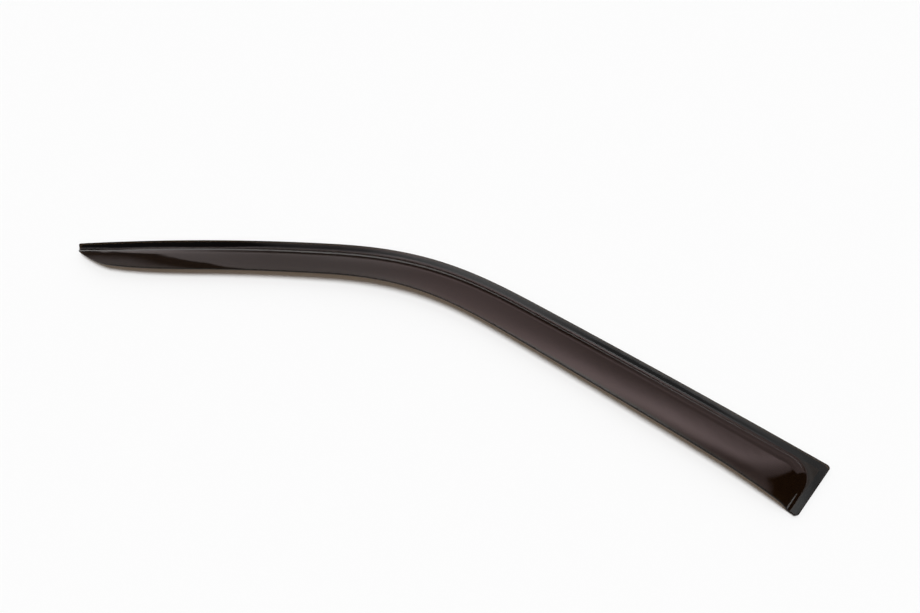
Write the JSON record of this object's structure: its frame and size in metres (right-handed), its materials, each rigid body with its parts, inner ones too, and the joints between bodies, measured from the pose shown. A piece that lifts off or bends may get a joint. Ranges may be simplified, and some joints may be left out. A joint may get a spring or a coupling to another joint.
{
  "type": "window rain deflector",
  "caption": "Long curved band of smoked acrylic for a front side window: a flat taped flange, a shoulder, and a crowned face that stands off the glass and ends in a free lip.",
  "frame": {"origin": "under the middle of the part's box, on the plane of the door frame that the tape sticks to", "axes": "+X along the chord from the front tip to the rear top corner, +Y towards the top edge, +Z out of the car"},
  "size_m": [0.999, 0.1942, 0.0197],
  "materials": {
    "smoked_acrylic": "gloss, see-through brown smoke tint",
    "foam_tape": "matte closed-cell foam"
  },
  "bodies": {
    "root": {"visor": "smoked_acrylic", "tape_upper": "foam_tape", "tape_rear": "foam_tape"}
  },
  "joints": []
}
